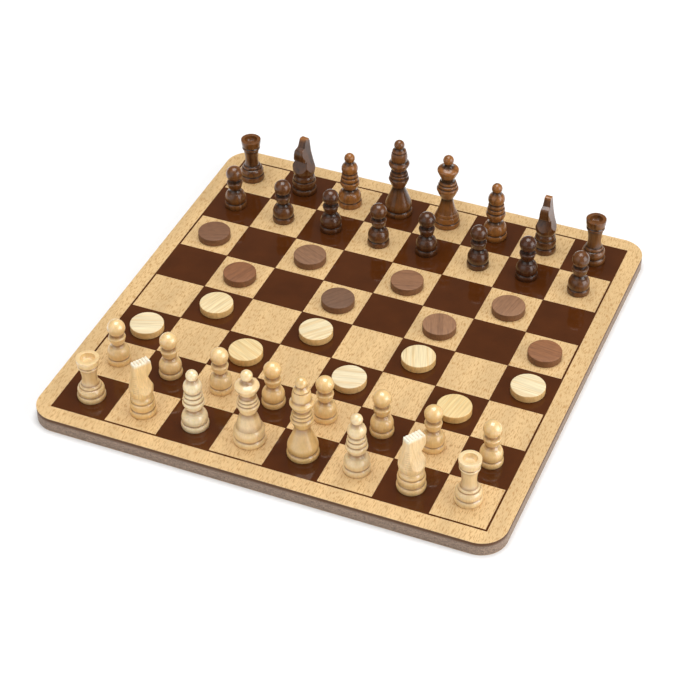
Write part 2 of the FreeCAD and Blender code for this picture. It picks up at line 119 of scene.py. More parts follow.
# Turned outlines, from the foot up: shares of the foot's radius and of the height where the ball, cup or head
# begins. An arc's last number is its bulge, positive where it swells outwards.
PAWN_SHARES = [
    ("line", 0.96, 0.0), ("arc", 0.96, 0.165, 0.2), ("line", 0.87, 0.188), ("line", 0.91, 0.204),
    ("arc", 0.73, 0.535, 0.25), ("arc", 0.47, 0.635, -0.16), ("line", 0.48, 0.65), ("arc", 0.7, 0.845, 0.16),
    ("arc", 0.66, 0.92, 0.4), ("line", 0.46, 0.95),
]
ROOK_SHARES = [
    ("line", 0.96, 0.0), ("arc", 0.96, 0.11, 0.22), ("line", 0.87, 0.13), ("line", 0.92, 0.145),
    ("arc", 0.82, 0.285, 0.26), ("line", 0.74, 0.295), ("arc", 0.68, 0.355, 0.26), ("line", 0.62, 0.364),
    ("arc", 0.53, 0.51, -0.08), ("arc", 0.65, 0.75, -0.06), ("line", 0.62, 0.76), ("line", 0.7, 0.772),
    ("arc", 0.71, 0.822, 0.4), ("line", 0.66, 0.836), ("line", 0.75, 0.85), ("arc", 0.81, 1.0, 0.05),
]
BISHOP_SHARES = [
    ("line", 0.96, 0.0), ("arc", 0.96, 0.1, 0.22), ("line", 0.87, 0.117), ("line", 0.91, 0.128),
    ("arc", 0.74, 0.305, 0.25), ("arc", 0.49, 0.362, -0.15), ("line", 0.5, 0.376), ("arc", 0.75, 0.473, 0.1),
    ("arc", 0.74, 0.553, 0.3), ("line", 0.67, 0.566), ("arc", 0.69, 0.645, 0.28), ("line", 0.61, 0.657),
    ("arc", 0.63, 0.727, 0.28), ("line", 0.53, 0.742), ("arc", 0.44, 0.952, 0.42),
]
QUEEN_SHARES = [
    ("line", 0.96, 0.0), ("arc", 0.96, 0.075, 0.22), ("line", 0.88, 0.089), ("line", 0.92, 0.1),
    ("arc", 0.84, 0.238, 0.2), ("line", 0.78, 0.247), ("arc", 0.46, 0.469, 0.05), ("arc", 0.68, 0.584, 0.05),
    ("arc", 0.645, 0.622, 0.38), ("line", 0.59, 0.631), ("arc", 0.6, 0.672, 0.36), ("line", 0.545, 0.68),
    ("arc", 0.54, 0.719, 0.36), ("line", 0.48, 0.728), ("line", 0.47, 0.776), ("arc", 0.7, 0.868, 0.1),
    ("arc", 0.66, 0.924, 0.45), ("arc", 0.38, 0.95, 0.06), ("line", 0.28, 0.972),
]
SLIM_QUEEN_SHARES = [
    ("line", 0.96, 0.0), ("arc", 0.96, 0.065, 0.22), ("line", 0.88, 0.079), ("line", 0.95, 0.095),
    ("arc", 0.86, 0.157, 0.06), ("line", 0.82, 0.164), ("arc", 0.75, 0.205, 0.05), ("line", 0.71, 0.213),
    ("arc", 0.42, 0.437, -0.06), ("arc", 0.78, 0.575, 0.06), ("arc", 0.74, 0.616, 0.38), ("line", 0.67, 0.626),
    ("arc", 0.68, 0.665, 0.36), ("line", 0.59, 0.674), ("arc", 0.58, 0.713, 0.36), ("line", 0.5, 0.724),
    ("line", 0.49, 0.773), ("arc", 0.74, 0.866, 0.1), ("arc", 0.7, 0.926, 0.45), ("arc", 0.42, 0.948, 0.06),
    ("line", 0.31, 0.968),
]
KING_SHARES = [
    ("line", 0.96, 0.0), ("arc", 0.96, 0.063, 0.22), ("line", 0.88, 0.077), ("line", 0.92, 0.088),
    ("arc", 0.88, 0.19, 0.18), ("arc", 0.43, 0.407, -0.02), ("arc", 0.69, 0.517, 0.05), ("arc", 0.67, 0.55, 0.4),
    ("line", 0.6, 0.56), ("arc", 0.63, 0.602, 0.3), ("line", 0.55, 0.611), ("arc", 0.555, 0.64, 0.4),
    ("line", 0.43, 0.652), ("line", 0.43, 0.664), ("arc", 0.69, 0.74, 0.12), ("arc", 0.67, 0.79, 0.42),
    ("line", 0.56, 0.81), ("arc", 0.52, 0.931, 0.12), ("line", 0.46, 0.938), ("arc", 0.44, 0.972, 0.4),
]
KNIGHT_BASE_SHARES = [
    ("line", 0.96, 0.0), ("arc", 0.96, 0.27, 0.22), ("line", 0.87, 0.305), ("arc", 0.92, 0.69, 0.2),
    ("line", 0.85, 0.725), ("arc", 0.79, 0.965, 0.24), ("line", 0.75, 1.0),
]
ROOK_CUP_FLOOR_SHARE = 0.72
ROOK_CUP_BULGE = 0.2

# Each kind of piece that ends in a ball: its outline, and its neck as a share of the ball's radius
BALLED = {
    "pawn": (PAWN_SHARES, 0.64), "bishop": (BISHOP_SHARES, 0.75), "queen": (QUEEN_SHARES, 0.72),
    "slim_queen": (SLIM_QUEEN_SHARES, 0.73), "king": (KING_SHARES, 0.8),
}

# How pale each light piece is, and how thin the stain is on each dark one, from 0 to 1
TONES = {
    "light_rook_left": 0.38, "light_rook_right": 0.56, "light_knight_left": 0.12, "light_knight_right": 0.28,
    "light_bishop_left": 0.92, "light_bishop_right": 0.64, "light_queen": 0.48, "light_king": 0.05,
    "light_pawn_1": 0.25, "light_pawn_2": 0.3, "light_pawn_3": 0.3, "light_pawn_4": 0.12, "light_pawn_5": 0.15,
    "light_pawn_6": 0.14, "light_pawn_7": 0.12, "light_pawn_8": 0.2,
    "dark_rook_left": 0.38, "dark_rook_right": 0.36, "dark_knight_left": 0.2, "dark_knight_right": 0.22,
    "dark_bishop_left": 1.0, "dark_bishop_right": 0.9, "dark_queen": 0.8, "dark_king": 0.4,
    "dark_pawn_1": 0.44, "dark_pawn_2": 0.24, "dark_pawn_3": 0.08, "dark_pawn_4": 0.2, "dark_pawn_5": 0.08,
    "dark_pawn_6": 0.06, "dark_pawn_7": 0.0, "dark_pawn_8": 0.26,
    "light_man_1": 0.74, "light_man_2": 0.46, "light_man_3": 0.22, "light_man_4": 0.66, "light_man_5": 0.82,
    "light_man_6": 0.54, "light_man_7": 0.1, "light_man_8": 0.69,
    "dark_man_1": 0.17, "dark_man_2": 0.58, "dark_man_3": 0.61, "dark_man_4": 0.0, "dark_man_5": 0.7,
    "dark_man_6": 0.94, "dark_man_7": 0.9, "dark_man_8": 0.84,
}

# How much darker a chessman's wood is than the rest of its kind, or how much warmer a draughtsman's, from 0 to 1
STAINS = {
    "light_king": 0.14, "light_rook_left": 0.06, "light_rook_right": 0.06, "light_bishop_right": 0.04,
    "light_pawn_6": 0.05, "light_pawn_7": 0.06, "light_pawn_8": 0.06,
    "dark_man_1": 0.18, "dark_man_2": 0.42, "dark_man_5": 0.14, "dark_man_8": 0.38,
}

# Which way the growth lines run across each side's draughtsmen, in degrees
GRAIN_TURNS = (70.0, 20.0, 115.0, 40.0, 75.0, 160.0, 10.0, 95.0)


def length_property(name, description, default):
    """A size that a user may change, shown in the scene's unit of length."""
    return FloatProperty(name=name, description=description, default=default, min=0.0, unit="LENGTH", precision=5)


def colour_property(name, description, default):
    """A colour that a user may change."""
    return FloatVectorProperty(name=name, description=description, default=default, size=3, min=0.0, max=1.0,
                               subtype="COLOR")


def power_property(name, description, default):
    """A light's power that a user may change."""
    return FloatProperty(name=name, description=description, default=default, min=0.0, unit="POWER")


class BoardSettings(bpy.types.PropertyGroup):
    """Sizes of the board's core and sheets."""
    corner_radius: length_property("Corner radius", "Round of the board's four corners", 18.0 * MM)
    corner_steps: IntProperty(name="Corner steps", description="Straight steps in each round corner", default=32)
    arris: length_property("Arris", "Softening of the sheets' and core's edges", 0.12 * MM)


class TurningSettings(bpy.types.PropertyGroup):
    """Sizes that the turned pieces' outlines need besides their width and height."""
    segments: IntProperty(name="Segments", description="Steps round each turned piece", default=72, min=12)
    softening: length_property("Softening", "How far sanding has rounded each turned corner", 0.1 * MM)
    hollow_reach: length_property("Hollow reach", "Width over which a groove counts as one", 1.0 * MM)
    # The depth at which a groove takes its full painted shade
    hollow_depth: length_property("Hollow depth", "Depth at which a groove is filled with stain", 0.3 * MM)
    pawn_foot: length_property("Pawn's foot", "Diameter of a plain pawn's foot", 16.2 * MM)
    pawn_ball: length_property("Pawn's ball", "Diameter of a plain pawn's head", 12.2 * MM)
    bishop_foot: length_property("Bishop's foot", "Diameter of a plain bishop's foot", 18.4 * MM)
    bishop_ball: length_property("Bishop's ball", "Diameter of a plain bishop's finial", 8.0 * MM)
    queen_foot: length_property("Queen's foot", "Diameter of the light queen's foot", 21.8 * MM)
    queen_ball: length_property("Queen's ball", "Diameter of the light queen's finial", 8.0 * MM)
    slim_queen_foot: length_property("Slim queen's foot", "Diameter of the dark queen's foot", 20.0 * MM)
    slim_queen_ball: length_property("Slim queen's ball", "Diameter of the dark queen's finial", 7.9 * MM)
    king_foot: length_property("King's foot", "Diameter of a plain king's foot", 21.6 * MM)
    king_ball: length_property("King's ball", "Diameter of a plain king's finial", 8.0 * MM)
    rook_foot: length_property("Rook's foot", "Diameter of a plain rook's foot", 18.6 * MM)
    cup_width: length_property("Rook's cup", "Width of the cup in a plain rook's top", 9.6 * MM)
    cup_depth: length_property("Cup depth", "Depth of the cup in a rook's top", 3.6 * MM)
    man_arris: length_property("Draughtsman's arris", "Broken edge of a draughtsman", 0.35 * MM)


class KnightSettings(bpy.types.PropertyGroup):
    """Sizes of the knights' joints and of the carving's finish."""
    socket_width: length_property("Socket", "Width of the socket in a knight's base", 6.2 * MM)
    socket_depth: length_property("Socket depth", "Depth of the socket in a knight's base", 6.1 * MM)
    grit: length_property("Grit", "Fineness of the carved surface", 0.16 * MM)
    # The depth at which a carved hollow takes its full painted shade
    hollow_depth: length_property("Hollow depth", "Depth at which a carved groove is filled with stain", 0.2 * MM)
    # How far down from the top of a knight's head the painted highlight reaches
    highlight_depth: length_property("Crest depth", "How far down from the top the wood is bare and pale", 2.4 * MM)
    sanding: IntProperty(name="Sanding", description="Passes that soften the carved edges", default=2)


class FinishSettings(bpy.types.PropertyGroup):
    """Colours of the woods, the ink and the board."""
    light_line: colour_property("Light line", "Growth lines of the light wood", (0.68, 0.40, 0.13))
    light_wood: colour_property("Light wood", "Ground of the light wood", (0.91, 0.583, 0.212))
    light_pale: colour_property("Light sapwood", "Palest light wood", (0.97, 0.79, 0.49))
    # The light knights' paler wood, which also serves as the painted highlight at the top of each head
    light_knight_pale_and_highlight: colour_property("Light crest", "Freshly cut crests of the light knights", (0.97, 0.90, 0.72))
    light_top: colour_property("Light draughtsman", "Deepest of the light draughtsmen", (0.80, 0.59, 0.265))
    light_top_pale: colour_property("Pale light draughtsman", "Palest light draughtsmen", (0.825, 0.73, 0.51))
    # Painted shade for the grooves of the light pieces
    light_groove_shade: colour_property("Light hollow", "Grooves of the light pieces", (0.36, 0.17, 0.05))
    light_edge: colour_property("Light edge", "Turned edges of the light draughtsmen", (0.72, 0.43, 0.14))
    dark_line: colour_property("Dark line", "Growth lines of the stained wood", (0.012, 0.004, 0.002))
    dark_wood: colour_property("Dark wood", "Ground of the stained wood", (0.07, 0.02, 0.0045))
    dark_pale: colour_property("Dark thin stain", "Stained wood where the stain is thin", (0.36, 0.135, 0.027))
    # Painted shade for the grooves of the dark pieces
    dark_groove_shade: colour_property("Dark hollow", "Grooves of the dark pieces", (0.014, 0.005, 0.002))
    dark_top: colour_property("Dark draughtsman", "Darkest of the dark draughtsmen", (0.175, 0.085, 0.043))
    dark_top_pale: colour_property("Pale dark draughtsman", "Palest of the dark draughtsmen", (0.31, 0.152, 0.072))
    dark_edge: colour_property("Dark edge", "Turned edges of the dark draughtsmen", (0.17, 0.068, 0.024))
    sheet_ground: colour_property("Sheet ground", "Ground of the board's top sheet", (0.765, 0.518, 0.246))
    sheet_fleck: colour_property("Sheet fleck", "Flecks of the board's top sheet", (0.48, 0.26, 0.085))
    ink: colour_property("Ink", "Printed squares", (0.07, 0.019, 0.0038))
    fibre: colour_property("Fibreboard", "Bare edge of the core", (0.29, 0.203, 0.146))
    fibre_edge: colour_property("Fibreboard arris", "Edge of the core below the sheet", (0.1, 0.038, 0.01))
    backing: colour_property("Backing", "Underside sheet", (0.55, 0.38, 0.22))


class StageSettings(bpy.types.PropertyGroup):
    """The camera, the floor and the lights."""
    camera_place: FloatVectorProperty(name="Camera", description="Where the camera stands", size=3, unit="LENGTH",
                                      default=(0.4036, -0.9663, 0.8821))
    camera_aim: FloatVectorProperty(name="Aim", description="Which way the camera looks", size=3,
                                    default=(-0.29427, 0.70112, -0.64949))
    camera_up: FloatVectorProperty(name="Up", description="Which way is up in the picture", size=3,
                                   default=(-0.24496, 0.60154, 0.76035))
    lens: FloatProperty(name="Lens", description="Focal length in millimetres", default=100.86)
    floor_size: length_property("Floor", "Side of the floor", 12.0)
    floor_tint: colour_property("Floor tint", "Colour of the floor", (0.97, 0.97, 0.97))
    sky: FloatProperty(name="Fill", description="Strength of the light from all round", default=0.2)
    overhead: power_property("Overhead", "Power of the overhead soft light", 76.5)
    front: power_property("Front", "Power of the soft light beside the camera", 8.5)
    side: power_property("Side", "Power of the soft light at the right", 46.0)


class GameSetSettings(bpy.types.PropertyGroup):
    """Everything about the set that a user may change."""
    board: PointerProperty(type=BoardSettings)
    turning: PointerProperty(type=TurningSettings)
    knight: PointerProperty(type=KnightSettings)
    finish: PointerProperty(type=FinishSettings)
    stage: PointerProperty(type=StageSettings)


def settings():
    return bpy.context.scene.game_set


def new_object(name, data):
    """An object in the scene's own collection."""
    made = bpy.data.objects.new(name, data)
    bpy.context.scene.collection.objects.link(made)
    return made


def connect(tree, node, inputs):
    """Links or sets a node's inputs."""
    for socket, source in inputs.items():
        if isinstance(source, bpy.types.NodeSocket):
            tree.links.new(source, node.inputs[socket])
        else:
            node.inputs[socket].default_value = source


def add(tree, kind, inputs=None, **values):
    """Adds a node, sets its own values, and links or sets its inputs."""
    made = tree.nodes.new(kind)
    for name, value in values.items():
        setattr(made, name, value)
    connect(tree, made, inputs or {})
    return made


def maths(tree, operation, first, second=0.0):
    """A number worked out from two others."""
    return add(tree, "ShaderNodeMath", {0: first, 1: second}, operation=operation).outputs[0]


def new_finish(name):
    """An empty procedural material, with its tree and its shader."""
    finish = bpy.data.materials.new(name)
    finish.use_nodes = True
    tree = finish.node_tree
    return finish, tree, tree.nodes["Principled BSDF"]


def object_place(tree):
    return add(tree, "ShaderNodeTexCoord").outputs["Object"]


def upward(tree, vector):
    """The upright part of a vector."""
    return add(tree, "ShaderNodeSeparateXYZ", {"Vector": vector}).outputs["Z"]


def fibres(tree, place, scale, detail, distortion=0.0):
    """Noise drawn out along the grain: a bigger scale is a finer pattern."""
    drawn = add(tree, "ShaderNodeMapping", {"Vector": place, "Scale": scale}).outputs["Vector"]
    return add(tree, "ShaderNodeTexNoise", {
        "Vector": drawn, "Scale": 1.0, "Detail": detail, "Roughness": 0.55, "Distortion": distortion,
    }).outputs["Fac"]


def ramp(tree, value, stops):
    """Colours along a value from 0 to 1."""
    made = add(tree, "ShaderNodeValToRGB", {"Fac": value})
    keys = made.color_ramp.elements
    while len(keys) < len(stops):
        keys.new(0.5)
    for key, (position, colour) in zip(keys, stops):
        key.position = position
        key.color = (*colour, 1.0)
    return made.outputs["Color"]


def opaque(colour):
    """A colour with full alpha, or the socket that gives one."""
    return colour if isinstance(colour, bpy.types.NodeSocket) else (*colour, 1.0)


def shaded(colour, share):
    """A colour made darker or lighter by a share."""
    return tuple(share * part for part in colour)


def mix(tree, share, first, second, blend="MIX"):
    """Two colours blended by a share."""
    inputs = {MIX_SHARE: share, MIX_FIRST: opaque(first), MIX_SECOND: opaque(second)}
    return add(tree, "ShaderNodeMix", inputs, data_type="RGBA", blend_type=blend).outputs[MIX_COLOUR]


def remap(tree, value, low, high, new_low, new_high):
    """A value stretched from one range onto another."""
    return add(tree, "ShaderNodeMapRange", {
        "Value": value, "From Min": low, "From Max": high, "To Min": new_low, "To Max": new_high,
    }).outputs["Result"]


def spread(tree, noise, low, high):
    """Noise stretched from its usual range onto another."""
    return remap(tree, noise, NOISE_LOW, NOISE_HIGH, low, high)


def uneven(tree, noise, roughness):
    """A roughness that changes a little from fibre to fibre."""
    return spread(tree, noise, roughness - 0.05, roughness + 0.07)


def attribute(tree, name):
    return add(tree, "ShaderNodeAttribute", attribute_name=name).outputs["Fac"]


def grey(tree, value):
    """A number as a grey colour."""
    return add(tree, "ShaderNodeCombineColor", {"Red": value, "Green": value, "Blue": value}).outputs["Color"]


def relief(tree, shader, height, strength, depth=0.1 * MM):
    """Fine relief on a surface."""
    bump = add(tree, "ShaderNodeBump", {"Height": height, "Strength": strength, "Distance": depth})
    connect(tree, shader, {"Normal": bump.outputs["Normal"]})


def turned_wood(name, line, ground, pale, hollow, roughness, coat, coat_roughness, contrast, gloss, glow):
    """Wood turned along its grain: upright growth streaks, fine fibres, painted shade in its deep grooves and a
    sprayed lacquer.
    """
    finish, tree, shader = new_finish(name)
    place = object_place(tree)
    broad = fibres(tree, place, (190.0, 190.0, 16.0), 5.0, 0.6)
    fine = fibres(tree, place, (1300.0, 1300.0, 55.0), 3.0)
    pores = fibres(tree, place, (2600.0, 2600.0, 210.0), 2.0)
    wood = mix(tree, attribute(tree, "tone"), ground, pale)
    wood = mix(tree, remap(tree, broad, 0.5, 0.34, 0.0, 2.5 * contrast), wood, line)
    shade = spread(tree, fine, 1.0 - contrast, 1.0 + 0.4 * contrast)
    shade = maths(tree, "MULTIPLY", shade, remap(tree, pores, 0.3, 0.45, 1.0 - 0.6 * contrast, 1.0))
    wood = mix(tree, 1.0, wood, grey(tree, shade), "MULTIPLY")
    wood = mix(tree, attribute(tree, "stain"), wood, BLACK)
    # Painted shade in the grooves, where the cavity attribute marks them
    wood = mix(tree, maths(tree, "MULTIPLY", attribute(tree, "cavity"), GROOVE_SHADE), wood, hollow)
    connect(tree, shader, {
        "Base Color": wood, "Roughness": uneven(tree, fine, roughness), "Coat Weight": coat,
        "Coat Roughness": coat_roughness, "Specular IOR Level": gloss, "Subsurface Weight": glow,
        "Subsurface Radius": (1.0, 0.5, 0.2), "Subsurface Scale": 3.0 * MM,
    })
    relief(tree, shader, maths(tree, "ADD", fine, maths(tree, "MULTIPLY", pores, 0.5)), 0.2)
    return finish


def flat_wood(name, line, ground, pale, edge, streak, growth, short, roughness, coat):
    """A draughtsman's wood: growth lines across the flat faces and a richer turned edge.

    A bigger growth brings the lines closer together, and a bigger short makes the fibres shorter.
    """
    finish, tree, shader = new_finish(name)
    turned = add(tree, "ShaderNodeVectorRotate", {
        "Vector": object_place(tree), "Angle": attribute(tree, "grain"),
    }, rotation_type="Z_AXIS").outputs["Vector"]
    lines = fibres(tree, turned, (growth, 16.0, 80.0), 3.0, 0.35)
    fine = fibres(tree, turned, (1100.0, short, 300.0), 3.0)
    wood = mix(tree, attribute(tree, "tone"), ground, pale)
    wood = mix(tree, attribute(tree, "stain"), wood, ORANGE, "MULTIPLY")
    wood = mix(tree, remap(tree, lines, 0.52, 0.36, 0.0, streak), wood, line)
    upright = maths(tree, "ABSOLUTE", upward(tree, add(tree, "ShaderNodeTexCoord").outputs["Normal"]))
    wood = mix(tree, remap(tree, upright, 0.2, 0.8, 0.8, 0.0), wood, edge)
    wood = mix(tree, 1.0, wood, grey(tree, spread(tree, fine, 0.82, 1.14)), "MULTIPLY")
    connect(tree, shader, {
        "Base Color": wood, "Roughness": uneven(tree, fine, roughness), "Coat Weight": coat, "Coat Roughness": 0.3,
    })
    relief(tree, shader, maths(tree, "ADD", fine, lines), 0.15)
    return finish


def sheet_wood(name, ground, fleck):
    """The beech-look top sheet: short flecks of two sizes that run from one player to the other."""
    finish, tree, shader = new_finish(name)
    place = object_place(tree)
    elsewhere = add(tree, "ShaderNodeVectorMath", {0: place, 1: (0.37, 0.11, 0.0)}).outputs[0]
    large = fibres(tree, place, (1200.0, 220.0, 1.0), 1.0)
    small = fibres(tree, elsewhere, (1550.0, 270.0, 1.0), 1.0)
    broad = fibres(tree, place, (60.0, 9.0, 1.0), 4.0)
    wood = ramp(tree, broad, [(0.3, shaded(ground, 0.82)), (0.62, ground)])
    for flecks, strength in ((large, 0.85), (small, 0.7)):
        wood = mix(tree, remap(tree, flecks, 0.42, 0.35, 0.0, strength), wood, fleck)
    connect(tree, shader, {"Base Color": wood, "Roughness": spread(tree, small, 0.38, 0.5)})
    relief(tree, shader, large, 0.15)
    return finish


def printed_ink(name, colour):
    """Screen-printed gloss ink, a little uneven where the screen left it thinner."""
    finish, tree, shader = new_finish(name)
    place = object_place(tree)
    cloud = fibres(tree, place, (45.0, 45.0, 1.0), 3.0)
    screen = fibres(tree, place, (900.0, 900.0, 1.0), 2.0)
    connect(tree, shader, {
        "Base Color": ramp(tree, cloud, [(0.35, colour), (0.7, shaded(colour, 1.25))]),
        "Roughness": spread(tree, screen, 0.05, 0.09), "Specular IOR Level": 0.32,
    })
    relief(tree, shader, maths(tree, "ADD", maths(tree, "MULTIPLY", cloud, 4.0), screen), 0.03)
    return finish


def fibreboard(name, colour, arris):
    """The core's sanded edge: felted fibres, darker just below the top sheet."""
    finish, tree, shader = new_finish(name)
    place = object_place(tree)
    felt = fibres(tree, place, (420.0, 420.0, 900.0), 6.0)
    speck = fibres(tree, place, (1000.0, 1000.0, 1500.0), 2.0)
    board = ramp(tree, felt, [(0.3, shaded(colour, 0.72)), (0.5, colour), (0.7, shaded(colour, 1.3))])
    board = mix(tree, 1.0, board, grey(tree, spread(tree, speck, 0.66, 1.29)), "MULTIPLY")
    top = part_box("board_core")[1].z
    height = maths(tree, "ADD", upward(tree, place), spread(tree, felt, -0.4 * MM, 0.4 * MM))
    board = mix(tree, remap(tree, height, top - 3.6 * MM, top - 1.6 * MM, 0.0, 0.95), board, arris)
    connect(tree, shader, {"Base Color": board, "Roughness": 0.55, "Specular IOR Level": 0.35})
    relief(tree, shader, maths(tree, "ADD", felt, speck), 0.35, 0.2 * MM)
    return finish


def backing_paper(name, colour):
    """The plain underside sheet."""
    finish, tree, shader = new_finish(name)
    cloud = fibres(tree, object_place(tree), (90.0, 12.0, 1.0), 5.0)
    connect(tree, shader, {
        "Base Color": ramp(tree, cloud, [(0.3, shaded(colour, 0.85)), (0.7, colour)]),
        "Roughness": spread(tree, cloud, 0.55, 0.68),
    })
    return finish


FINISHES = {}


def finish_for(slot):
    """The material of a record's slot, made when it is first asked for."""
    if slot in FINISHES:
        return FINISHES[slot]
    colours = settings().finish
    light = (colours.light_line[:], colours.light_wood[:], colours.light_pale[:], colours.light_groove_shade[:])
    # The light knights' pale colour is also their painted highlight at the top of each head
    light_cut = (*light[:2], colours.light_knight_pale_and_highlight[:], light[3])
    dark = (colours.dark_line[:], colours.dark_wood[:], colours.dark_pale[:], colours.dark_groove_shade[:])
    light_disc = (light[0], colours.light_top[:], colours.light_top_pale[:], colours.light_edge[:])
    dark_disc = (dark[1], colours.dark_top[:], colours.dark_top_pale[:], colours.dark_edge[:])
    makers = {
        "fibreboard": lambda: fibreboard(slot, colours.fibre[:], colours.fibre_edge[:]),
        "top_sheet_wood": lambda: sheet_wood(slot, colours.sheet_ground[:], colours.sheet_fleck[:]),
        "back_sheet_wood": lambda: backing_paper(slot, colours.backing[:]),
        "dark_ink": lambda: printed_ink(slot, colours.ink[:]),
        "light_wood": lambda: turned_wood(
            slot, *light, roughness=0.33, coat=0.8, coat_roughness=0.15, contrast=0.1, gloss=1.0, glow=0.08),
        "light_carved_wood": lambda: turned_wood(
            slot, *light_cut, roughness=0.44, coat=0.3, coat_roughness=0.28, contrast=0.16, gloss=0.6, glow=0.08),
        "dark_wood": lambda: turned_wood(
            slot, *dark, roughness=0.34, coat=1.0, coat_roughness=0.23, contrast=0.2, gloss=0.1, glow=0.0),
        "dark_carved_wood": lambda: turned_wood(
            slot, *dark, roughness=0.38, coat=1.0, coat_roughness=0.16, contrast=0.25, gloss=0.1, glow=0.0),
        "light_man_wood": lambda: flat_wood(
            slot, *light_disc, streak=0.4, growth=450.0, short=45.0, roughness=0.48, coat=0.15),
        "dark_man_wood": lambda: flat_wood(
            slot, *dark_disc, streak=0.3, growth=620.0, short=190.0, roughness=0.55, coat=0.08),
    }
    FINISHES[slot] = makers[slot]()
    return FINISHES[slot]


def slot_of(node):
    """The material slot that the record gives a node."""
    return next(part["material_slot"] for part in frame["record"]["subparts"] if part["node"] == node)


def arc_points(start, end, bulge):
    """Points along an arc, without its start. Its bulge is the tangent of a quarter of its angle."""
    chord = end - start
    along = chord.normalized()
    out = Vector((along.y, -along.x))
    angle = 4 * math.atan(bulge)
    half = chord.length / 2
    centre = (start + end) / 2 - out * (half / math.tan(angle / 2))
    radius = half / math.sin(angle / 2)
    steps = max(FEWEST_ARC_STEPS, math.ceil(abs(math.degrees(angle)) / ARC_STEP_DEGREES))
    points = []
    for step in range(1, steps + 1):
        turn = (step / steps - 0.5) * angle
        points.append(centre + radius * (out * math.cos(turn) + along * math.sin(turn)))
    return points


def outline(rows, radius, height):
    """The points of a turned outline from the middle of its foot."""
    points = [Vector((0.0, 0.0))]
    for kind, out_share, up_share, *bulge in rows:
        target = Vector((out_share * radius, up_share * height))
        points += [target] if kind == "line" else arc_points(points[-1], target, bulge[0])
    return points


def add_ball(points, radius, height):
    """Closes an outline with a ball that stands on its last point."""
    neck = points[-1]
    centre = height - radius
    first = math.atan2(neck.y - centre, neck.x)
    for step in range(1, BALL_STEPS + 1):
        turn = first + (math.pi / 2 - first) * step / BALL_STEPS
        points.append(Vector((radius * math.cos(turn), centre + radius * math.sin(turn))))
    points[-1] = Vector((0.0, height))


def soften(points, reach):
    """Rounds the sharp corners of an outline, as sanding does."""
    soft = [points[0]]
    for before, corner, after in zip(points, points[1:], points[2:]):
        back = before - corner
        ahead = after - corner
        if min(back.length, ahead.length) < SAME_POINT:
            continue
        if math.pi - back.angle(ahead) < SHARP_CORNER:
            soft.append(corner)
            continue
        near = corner + back.normalized() * min(reach, LARGEST_ROUND_SHARE * back.length)
        far = corner + ahead.normalized() * min(reach, LARGEST_ROUND_SHARE * ahead.length)
        soft += [near, (near + 2 * corner + far) / 4, far]
    return soft + [points[-1]]


def hollow(points, number, reach):
    """How far a point of an outline lies below the chord between its neighbours, which is none inside a cup."""
    here = points[number]
    ends = []
    for side in (points[number - 1::-1] if number else [], points[number + 1:]):
        away = next((point - here for point in side if (point - here).length > reach), None)
        if away is None:
            return 0.0
        ends.append(here + away.normalized() * reach)
    chord = ends[1] - ends[0]
    if chord.y < 0:
        return 0.0
    return max(0.0, chord.normalized().cross(here - ends[0]))


def ball_neck(radius, height, neck_share):
    """The height at which a ball's neck meets it."""
    return height - radius - radius * math.sqrt(1 - neck_share ** 2)


def piece_sizes(node):
    """A turned node's radius, its height and the middle of its foot."""
    low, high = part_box(node)
    place = Vector(((low.x + high.x) / 2, (low.y + high.y) / 2, low.z))
    return (high.x - low.x) / 2, high.z - low.z, place


def foot_radius(rows, width, height):
    """The radius that the shares count from, for a piece whose widest point is known."""
    trial = outline(rows, width, height)
    return width * width / max(point.x for point in trial)


def new_tree(name, start, inputs):
    """An empty geometry nodes tree, with the sockets for what it is given."""
    tree = bpy.data.node_groups.new(name, "GeometryNodeTree")
    for socket, kind in ((start, "Geometry"), *inputs):
        tree.interface.new_socket(socket, in_out="INPUT", socket_type="NodeSocket" + kind)
    tree.interface.new_socket("Made", in_out="OUTPUT", socket_type="NodeSocketGeometry")
    return tree, tree.nodes.new("NodeGroupInput").outputs


def end_tree(tree, geometry, finish):
    """Ends a geometry nodes tree: one real mesh in its material."""
    real = add(tree, "GeometryNodeRealizeInstances", {"Geometry": geometry}).outputs[0]
    made = add(tree, "GeometryNodeSetMaterial", {"Geometry": real, "Material": finish}).outputs[0]
    tree.links.new(made, tree.nodes.new("NodeGroupOutput").inputs[0])
    return tree


def store(tree, geometry, name, value):
    """Keeps a number at each point of a geometry, for its material."""
    return add(tree, "GeometryNodeStoreNamedAttribute", {"Geometry": geometry, "Name": name, "Value": value},
               data_type="FLOAT", domain="POINT").outputs[0]


def sample(tree, kind, geometry, value, number):
    """A value at one numbered point of a geometry."""
    return add(tree, "GeometryNodeSampleIndex", {"Geometry": geometry, "Value": value, "Index": number},
               data_type=kind, domain="POINT").outputs["Value"]


LATHE_INPUTS = (
    ("Segments", "Int"), ("Place", "Vector"), ("Tone", "Float"), ("Grain", "Float"), ("Stain", "Float"),
    ("Wood", "Material"),
)


